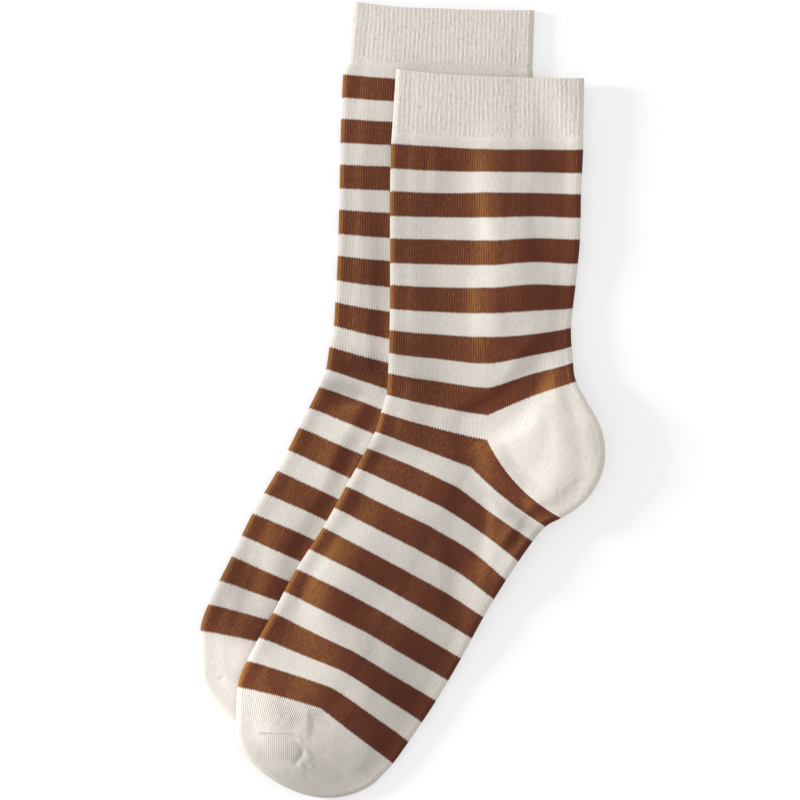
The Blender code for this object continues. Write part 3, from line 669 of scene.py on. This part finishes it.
def buildCuff(sock):
    # the ribbed cuff, whose outer face turns over its top edge into the lining
    shell = Shell()
    ribEnd = lays[sock]["ribEnd"]
    ring = fullWales(outerWales)
    wall, pitch = cloth["wall"], cloth["stripePitch"]
    courses = []
    for angle in np.linspace(math.pi, 0.0, mesh["rimSteps"] + 1)[:-1]:
        # the turned edge rolls from the lining over to the outer face
        stripe = cuffEdge + wall / 2.0 * (1.0 - math.sin(angle)) / pitch
        depth = wall / 2.0 * (1.0 - math.cos(angle))
        courses.append((stripe, depth, 1.0 - depth / wall * knit["rimPlain"]))
    for stripe in np.linspace(cuffEdge + wall / 2.0 / pitch, ribEnd, mesh["cuffRows"] + 1):
        courses.append((stripe, 0.0, (ribEnd - stripe) * knit["ribsEnd"]))
    rows = []
    for stripe, depth, shown in courses:
        points = fullRing(sock, legSections, stripe, outerWales, depth)
        rows.append(shell.addRow(points, ring, courseOf(sock, stripe), float(ease(shown)), closed=True))
    shell.joinAll(rows)
    liningRing = fullWales(liningWales)
    lining = []
    liningCourses = mesh["cuffRows"] // mesh["liningRows"]
    for stripe in np.linspace(cuffEdge + 2.0 * wall / pitch, ribEnd, liningCourses):
        points = fullRing(sock, legSections, stripe, liningWales, wall)
        lining.append(shell.addRow(points, liningRing, courseOf(sock, stripe), 0.0, closed=True))
    shell.joinAll(lining, inward=True)
    shell.joinLining(rows[0], lining[0], True)
    shell.joinLining(rows[-1], lining[-1], False)
    return shell.build(f"{sock}_ribbed_cuff")

def linear(code):
    values = [int(code[i:i + 2], 16) / 255.0 for i in (1, 3, 5)]
    return (*[v / 12.92 if v <= 0.04045 else ((v + 0.055) / 1.055) ** 2.4 for v in values], 1.0)

def addNode(tree, kind, inputs=(), output=0, **settings):
    # inputs by place or by name, as values or as the sockets that feed them; gives back one output
    node = tree.nodes.new(kind)
    for name, value in settings.items():
        setattr(node, name, value)
    for key, value in inputs.items() if isinstance(inputs, dict) else enumerate(inputs):
        if isinstance(value, bpy.types.NodeSocket):
            tree.links.new(value, node.inputs[key])
        else:
            node.inputs[key].default_value = value
    return node.outputs[output] if node.outputs else node

def chain(add, kind, value, *steps):
    # takes a value through one node after another: each step is an operation and its other inputs
    for operation, *others in steps:
        value = add(kind, (value, *others), operation=operation)
    return value

def startMaterial(name):
    material = bpy.data.materials.new(name)
    material.use_nodes = True
    return material, material.node_tree.nodes["Principled BSDF"], partial(addNode, material.node_tree)

def setInputs(node, values):
    for name, value in values.items():
        node.inputs[name].default_value = value

def startTree(name, labels):
    # a node group that takes a mesh, some sizes and a material, and gives back a mesh
    tree = bpy.data.node_groups.new(name, "GeometryNodeTree")
    face = tree.interface
    face.new_socket("Geometry", in_out="INPUT", socket_type="NodeSocketGeometry")
    for label in labels:
        face.new_socket(label, in_out="INPUT", socket_type="NodeSocketFloat")
    face.new_socket("Material", in_out="INPUT", socket_type="NodeSocketMaterial")
    face.new_socket("Geometry", in_out="OUTPUT", socket_type="NodeSocketGeometry")
    return tree, partial(addNode, tree), tree.nodes.new("NodeGroupInput").outputs

calc = "ShaderNodeMath"

# sRGB colours: the yarn where it is plain, a darker one for its greyer streaks and for the painted shade
# in its grooves, and its grey fibres
yarns = {
    "jersey": {"pale": "#dad4cc", "shaded": "#c0b8ae", "fleck": "#a1988e"},
    "rib": {"pale": "#e0dad1", "shaded": "#bbb3a8", "fleck": "#9d948a"},
}
paintedRustShadeToLight = (("#5b2e20", 0.0), ("#653823", 0.42), ("#8b5b2e", 1.0))     # painted shade to painted light: the brown on a flank turned from the light, on flat cloth, and on a flank turned to it
# patches in the yarn, as wales across and courses along, with their detail and the range that shows
patches = {
    "streak": ((1.15, 0.28, 1.0), 3.0, (0.33, 0.67)),       # drawn-out fibres
    "fleck": ((1.6, 0.30, 1.0), 2.0, (0.55, 0.72)),         # short grey ones
    "cloud": ((0.14, 0.10, 1.0), 2.0, (0.3, 0.7)),          # where those lie closer
}
finish = {
    "grooveShade": (0.35, 0.5),     # painted shade in a groove: how much more in a streak, and elsewhere
    "streakShade": 0.28,
    "courseGroove": 2.4,
    "flecks": (0.28, 0.12),     # in a cloud, and everywhere
    "ribFlecks": 1.9,           # how many more of them the cuffs show
    "paintedShadingReach": 0.28,          # how much lighter or darker a painted light or shade of 1 is
    # painted shade between the toe's pleats
    "paintedPleatShade": -0.3,
    "pleatDepth": -4.0,
    "paintedShadeTurnedAway": (0.2, 0.8),   # painted shade where a fold turns away from straight up
    "paintedLightFrom": 155.0,             # way that a flank faces where the painted light is strongest
    # painted light and shade on the brown: how fast it grows as a flank turns to the light, where flat
    # cloth stands, how much the streaks add and the grooves take away
    "paintedLight": (1.6, 0.23),
    "paintedLightStreak": 0.42,
    "paintedLightGroove": -0.55,
    "loop": 0.4,                # height of a loop against the depth of a groove
    "bump": {"Strength": 0.3, "Distance": 0.1 * mm},
    "surface": {"Roughness": 0.9, "Specular IOR Level": 0.2},       # matt cotton
    "sheen": {"Sheen Weight": 0.06, "Sheen Roughness": 0.5},
}

def knitMaterial(name, yarn, striped=False, flecked=1.0):
    # matt combed cotton, knitted fine: pale yarn with drawn-out grey fibres, and red-brown yarn with
    # painted light and shade, golden on the side of a fold that faces the light and dark red on the other
    material, shader, add = startMaterial(name)
    uv = add("ShaderNodeUVMap", uv_map="knit")
    separate = add("ShaderNodeSeparateXYZ", (uv,)).node
    wale, course = separate.outputs["X"], separate.outputs["Y"]
    rows, rise, paintedShading, gather = (
        add("ShaderNodeAttribute", attribute_name=name, output="Fac")
        for name in ("rows", "rise", "paintedShading", "gather")
    )
    shown = {}
    for patch, (size, detail, (low, high)) in patches.items():
        spread = add("ShaderNodeVectorMath", (uv, size), operation="MULTIPLY")
        noise = {"Vector": spread, "Scale": 1.0, "Detail": detail, "Roughness": 0.6}
        value = add("ShaderNodeTexNoise", noise)
        shown[patch] = add("ShaderNodeMapRange", {"Value": value, "From Min": low, "From Max": high})
    streak = shown["streak"]

    # each wale is a column of V stitches: its crest at the middle, a groove where two wales meet
    fromMiddle = (("FRACT",), ("SUBTRACT", 0.5), ("ABSOLUTE",))
    aside = chain(add, calc, wale, *fromMiddle)
    groove = chain(add, calc, aside, ("MULTIPLY", 2.0), ("POWER", 3.0))
    between = chain(add, calc, course, *fromMiddle, ("MULTIPLY", finish["courseGroove"]))
    groove = add("ShaderNodeMix", {0: rows, 2: groove, 3: between})
    rise = add(calc, (rise, rows), operation="MAXIMUM")
    # painted shade in the grooves, deeper where the wales or courses stand out
    deep = ("MULTIPLY_ADD", *finish["grooveShade"])
    deep = chain(add, calc, streak, deep, ("MULTIPLY", groove), ("MULTIPLY", rise))
    shade = add(calc, (streak, finish["streakShade"], deep), operation="MULTIPLY_ADD")
    pale, shaded, fleck = (linear(yarn[name]) for name in ("pale", "shaded", "fleck"))
    colour = add("ShaderNodeMix", {0: shade, 6: pale, 7: shaded}, 2, data_type="RGBA")
    flecks = ("MULTIPLY_ADD", *(share * flecked for share in finish["flecks"]))
    flecks = chain(add, calc, shown["cloud"], flecks, ("MULTIPLY", shown["fleck"]))
    colour = add("ShaderNodeMix", {0: flecks, 6: colour, 7: fleck}, 2, data_type="RGBA")

    # the small pleats of the gathered toe, drawn coarser than their stitches so that they show: painted
    # shade between them, and a bump
    across = add("ShaderNodeSeparateXYZ", (add("ShaderNodeTexCoord", output="Object"),), "X")
    pleat = chain(
        add, calc, across,
        ("MULTIPLY", 2.0 * math.pi / knit["gatherPitch"]), ("SINE",), ("MULTIPLY_ADD", 0.5, 0.5),
        ("MULTIPLY", gather),
    )
    paintedPleatShade = add(calc, (pleat, finish["paintedPleatShade"], 1.0), operation="MULTIPLY_ADD")
    normal = add("ShaderNodeNewGeometry", output="Normal")
    # painted shade: the colour darker the further the surface turns from straight up
    up = add("ShaderNodeSeparateXYZ", (normal,), "Z")
    up = add(calc, (up, *finish["paintedShadeTurnedAway"]), operation="MULTIPLY_ADD")
    # painted light and shade: the listed paler and darker places, the painted shade between the toe's
    # pleats and where the cloth turns from straight up, all scaling the colour
    paintedShading = chain(
        add, calc, paintedShading,
        ("MULTIPLY_ADD", finish["paintedShadingReach"], 1.0), ("MULTIPLY", paintedPleatShade), ("MULTIPLY", up),
    )
    if striped:
        # a stripe's edge steps with each V, some wales further than others
        column = add(calc, (wale,), operation="FLOOR")
        uneven = add("ShaderNodeTexWhiteNoise", {"W": column}, noise_dimensions="1D")
        teeth = knit["unevenTeeth"]
        uneven = chain(add, calc, uneven, ("MULTIPLY", teeth), ("SUBTRACT", teeth / 2.0))
        stripe = chain(
            add, calc, aside,
            ("SUBTRACT", 0.25), ("MULTIPLY_ADD", knit["tooth"], course), ("SUBTRACT", uneven),
            ("DIVIDE", float(cloth["coursesPerStripe"])),
        )
        band = chain(add, calc, stripe, ("FRACT",), ("LESS_THAN", knit["brownShare"]))
        for operation, end in (("GREATER_THAN", "brownFrom"), ("LESS_THAN", "brownTo")):
            inside = add(calc, (stripe, knit[end]), operation=operation)
            band = add(calc, (band, inside), operation="MULTIPLY")
        # painted light and shade on the brown: golden as the surface faces the light, dark red as it turns
        # away, darker in the grooves and varied by the streaks
        turn = math.radians(finish["paintedLightFrom"])
        facing = (normal, (math.cos(turn), math.sin(turn), 0.0))
        paintedLight = add("ShaderNodeVectorMath", facing, "Value", operation="DOT_PRODUCT")
        paintedLight = add(calc, (paintedLight, *finish["paintedLight"]), operation="MULTIPLY_ADD")
        for value, weight in ((streak, "paintedLightStreak"), (groove, "paintedLightGroove")):
            paintedLight = add(calc, (value, finish[weight], paintedLight), operation="MULTIPLY_ADD")
        ramp = add("ShaderNodeValToRGB", (paintedLight,)).node
        stops = ramp.color_ramp.elements
        for code, place in paintedRustShadeToLight[1:-1]:
            stops.new(place)
        for stop, (code, place) in zip(stops, paintedRustShadeToLight):
            stop.position, stop.color = place, linear(code)
        colour = add("ShaderNodeMix", {0: band, 6: colour, 7: ramp.outputs[0]}, 2, data_type="RGBA")
    colour = add("ShaderNodeVectorMath", {0: colour, "Scale": paintedShading}, operation="SCALE")
    loop = chain(add, calc, course, ("MULTIPLY", math.pi), ("SINE",))
    loop = add(calc, (loop, loop), operation="MULTIPLY")
    sunk = add(calc, (groove, rise), operation="MULTIPLY")
    height = chain(add, calc, loop, ("MULTIPLY", finish["loop"]), ("SUBTRACT", sunk))
    height = add(calc, (pleat, finish["pleatDepth"], height), operation="MULTIPLY_ADD")
    bump = add("ShaderNodeBump", {"Height": height, **finish["bump"]})
    material.node_tree.links.new(colour, shader.inputs["Base Color"])
    material.node_tree.links.new(bump, shader.inputs["Normal"])
    setInputs(shader, {**finish["surface"], **finish["sheen"]})
    return material

# how the ribs wander, how they break up and how lumpy the cloth lies
unevenness = {
    "wander": {"Scale": 110.0, "Detail": 2.0},
    "patches": {"Scale": 260.0, "Detail": 1.0},
    "lumps": {"Scale": 75.0, "Detail": 3.0, "Roughness": 0.55},
}

def reliefTree(name):
    # ribs and wales that wander a little, over soft uneven lumps, put outwards from a plain wall
    tree, add, given = startTree(name, ("Period", "Phase", "Height", "Wander", "Patchy", "Lumps"))
    kinds = {"wale": "FLOAT", "rise": "FLOAT", "outward": "FLOAT_VECTOR"}
    wale, rise, outward = (
        add("GeometryNodeInputNamedAttribute", (name,), data_type=kind) for name, kind in kinds.items()
    )
    up = add("ShaderNodeSeparateXYZ", (outward,), "Z")
    place = add("GeometryNodeInputPosition")
    noises = {}
    for noise, settings in unevenness.items():
        value = add("ShaderNodeTexNoise", {"Vector": place, **settings})
        noises[noise] = add(calc, (value, 0.5), operation="SUBTRACT")
    # ribs only stand out on top and only sink in underneath, so that the sock stays on the table
    wave = chain(
        add, calc, noises["wander"],
        ("MULTIPLY_ADD", given["Wander"], wale), ("ADD", given["Phase"]), ("DIVIDE", given["Period"]),
        ("MULTIPLY", 2.0 * math.pi), ("COSINE",), ("ADD", up),
    )
    patchy = ("MULTIPLY_ADD", given["Patchy"], 0.5)
    strength = chain(add, calc, noises["patches"], patchy, ("MULTIPLY", rise))
    wave = add(calc, (wave, strength), operation="MULTIPLY")
    onTop = add("ShaderNodeClamp", (up,))
    lump = chain(add, calc, noises["lumps"], ("MULTIPLY", onTop), ("MULTIPLY", given["Lumps"]))
    height = add(calc, (wave, given["Height"], lump), operation="MULTIPLY_ADD")
    offset = add("ShaderNodeVectorMath", {0: outward, "Scale": height}, operation="SCALE")
    moved = add("GeometryNodeSetPosition", {"Geometry": given["Geometry"], "Offset": offset})
    real = add("GeometryNodeRealizeInstances", {"Geometry": moved})
    done = add("GeometryNodeSetMaterial", {"Geometry": real, "Material": given["Material"]})
    add("NodeGroupOutput", {"Geometry": done})
    return tree

seam = {
    "sizes": {"Pitch": 1.02 * mm, "Long": 1.25 * mm, "Thick": 0.62 * mm},
    "loop": {"Segments": 8, "Rings": 6, "Radius": 0.5},
    "uneven": {2: 0.8, 3: 1.15, "Seed": 4},     # shortest and longest loop
    "sunk": 0.1,            # how far the loops sink into the toe
    "steps": 8,             # pieces of each straight run
    "shadedYarn": "#c4bcb2",
    "yarnScale": 900.0,
}

def seamTree(name):
    # small loops of yarn laid side by side along a line
    tree, add, given = startTree(name, ("Pitch", "Long", "Thick"))
    line = add("GeometryNodeMeshToCurve", {"Mesh": given["Geometry"]})
    line = add("GeometryNodeResampleCurve", {"Curve": line, "Length": given["Pitch"]}, mode="LENGTH")
    turned = {"Vector": add("GeometryNodeInputTangent")}
    turned = add("FunctionNodeAlignRotationToVector", turned, axis="X")
    loop = add("GeometryNodeMeshUVSphere", seam["loop"])
    uneven = add("FunctionNodeRandomValue", seam["uneven"], 1, data_type="FLOAT")
    long = add(calc, (given["Long"], uneven), operation="MULTIPLY")
    size = add("ShaderNodeCombineXYZ", (given["Thick"], long, given["Thick"]))
    placed = {"Points": line, "Instance": loop, "Rotation": turned, "Scale": size}
    placed = add("GeometryNodeInstanceOnPoints", placed)
    real = add("GeometryNodeRealizeInstances", {"Geometry": placed})
    smooth = add("GeometryNodeSetShadeSmooth", {"Geometry": real})
    done = add("GeometryNodeSetMaterial", {"Geometry": smooth, "Material": given["Material"]})
    add("NodeGroupOutput", {"Geometry": done})
    return tree

def seamLine(sock, name, corners):
    # a line of points on top of the toe
    corners = np.array(corners, float)
    runs = [np.linspace(a, b, seam["steps"] + 1)[:-1] for a, b in zip(corners, corners[1:])]
    steps = np.concatenate(runs + [corners[-1:]])
    top = underside(sock, steps) + 2.0 * cloth["foldRadius"] + relief(sock, steps) - seam["sunk"]
    points = np.column_stack((steps - middle, top)) * mm
    made = bpy.data.meshes.new(name)
    made.from_pydata(points.tolist(), [(i, i + 1) for i in range(len(points) - 1)], [])
    return addObject(name, made)

def yarnMaterial(name, code):
    # plain combed cotton yarn, its fibres a little greyer in patches
    material, shader, add = startMaterial(name)
    place = add("ShaderNodeTexCoord", output="Object")
    noise = add("ShaderNodeTexNoise", {"Vector": place, "Scale": seam["yarnScale"], "Detail": 2.0})
    tones = {6: linear(code), 7: linear(seam["shadedYarn"])}
    colour = add("ShaderNodeMix", {0: noise, **tones}, 2, data_type="RGBA")
    material.node_tree.links.new(colour, shader.inputs["Base Color"])
    setInputs(shader, finish["surface"])
    return material

def applyNodes(piece, tree, inputs):
    # turns a piece into the plain mesh that a node tree makes of it
    modifier = piece.modifiers.new(tree.name, "NODES")
    modifier.node_group = tree
    for item in tree.interface.items_tree:
        if item.name in inputs:
            modifier[item.identifier] = inputs[item.name]
    graph = bpy.context.evaluated_depsgraph_get()
    made = bpy.data.meshes.new_from_object(piece.evaluated_get(graph), depsgraph=graph)
    piece.modifiers.clear()
    old = piece.data
    piece.data = made
    made.name = piece.name
    bpy.data.meshes.remove(old)
    return piece

print("making the knit's relief and yarns")
knitRelief = reliefTree("knitRelief")
shared = {"Lumps": knit["lumps"]}
waleRelief = {"Period": 1.0, "Phase": 0.5, "Height": knit["wale"], "Wander": 0.0, "Patchy": 1.0, **shared}
ribRelief = {"Period": 2.0, "Phase": 1.0, "Height": knit["rib"], "Wander": 2.1, "Patchy": 2.6, **shared}
jersey = knitMaterial("oatmealCottonJersey", yarns["jersey"])
striped = knitMaterial("stripedCottonJersey", yarns["jersey"], striped=True)
ribbing = knitMaterial("oatmealCottonRib", yarns["rib"], flecked=finish["ribFlecks"])
linking = yarnMaterial("oatmealLinkingYarn", yarns["jersey"]["pale"])
linkedSeam = seamTree("linkedSeam")

# each part's relief, material and slot, and the cut of what shows, all round, in metres, with its area
# where it is no rectangle
parts = {
    "cuff": (ribRelief, ribbing, "oatmeal_rib", (0.184, 0.033), None),
    "tube": (waleRelief, striped, "striped_jersey", (0.184, 0.312), None),
    "heel": (waleRelief, jersey, "oatmeal_jersey", (0.094, 0.095), 0.0035),
    "toe": (waleRelief, jersey, "oatmeal_jersey", (0.072, 0.060), 0.0026),
}
pieces = {}
stitches = []
for sock in lays:
    print("knitting the", sock, "sock")
    shells = (
        buildCuff(sock), buildTube(sock),
        buildPocket(sock, "heel_pocket", heelStripe, heelPoints, mesh["heelRays"], knit["heelCourses"]),
        buildPocket(sock, "toe_pocket", toeStripe, toePoints, mesh["toeRays"], knit["toeCourses"]),
    )
    for part, shell in zip(parts, shells):
        sizes, material = parts[part][:2]
        pieces[sock, part] = applyNodes(shell, knitRelief, {**sizes, "Material": material})
    for name, corners in seams[sock].items():
        row = seamLine(sock, f"{sock}_toe_seam_{name}", corners)
        stitches.append(applyNodes(row, linkedSeam, {**seam["sizes"], "Material": linking}))

for (sock, part), piece in pieces.items():
    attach(piece, "root")
    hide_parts(f"{sock}_{part}")
    print(piece.name, len(piece.data.vertices), sum(len(p.vertices) - 2 for p in piece.data.polygons))

for row in stitches:
    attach(row, "root")

print("laying the table and setting the camera and light")
white = (1.0, 1.0, 1.0, 1.0)
stage = {"size": 3.0, "drop": 0.05 * mm, "colour": "#bbbbbb", "roughness": 0.9, "glow": 0.5}
bpy.ops.mesh.primitive_plane_add(size=stage["size"], location=(0.0, 0.0, -stage["drop"]))
floor = bpy.context.object
floor.name = "floor"
acrylic, surface, add = startMaterial("backlitWhiteAcrylic")    # a lit white table: its shadows stay pale
lit = {"Emission Color": white, "Emission Strength": stage["glow"]}
setInputs(surface, {"Base Color": linear(stage["colour"]), "Roughness": stage["roughness"], **lit})
floor.data.materials.append(acrylic)

view = {"distance": 2.5, "width": 384.0 * mm, "sensor": 36.0, "focusHeight": 4.0 * mm}
camera = addObject("camera", bpy.data.cameras.new("camera"))
camera.location = (-middle[0] * mm, -middle[1] * mm, view["distance"] + view["focusHeight"])
camera.data.sensor_width = view["sensor"]
camera.data.lens = view["sensor"] * view["distance"] / view["width"]
bpy.context.scene.camera = camera

studio = {"turn": 168.0, "rise": 14.5, "distance": 5.0, "size": 0.8, "watts": 250.0, "room": 0.78}
light = bpy.data.lights.new("key", "AREA")
light.shape = "DISK"
light.size = studio["size"]
light.energy = studio["watts"]
turn, rise = math.radians(studio["turn"]), math.radians(studio["rise"])
place = Vector((math.cos(turn) * math.cos(rise), math.sin(turn) * math.cos(rise), math.sin(rise)))
softbox = addObject("key", light)
softbox.location = place * studio["distance"]
softbox.rotation_euler = place.to_track_quat("Z", "Y").to_euler()

world = bpy.data.worlds.new("world")
world.use_nodes = True
setInputs(world.node_tree.nodes["Background"], {"Color": white, "Strength": studio["room"]})
bpy.context.scene.world = world
bpy.context.scene.view_settings.view_transform = "Standard"
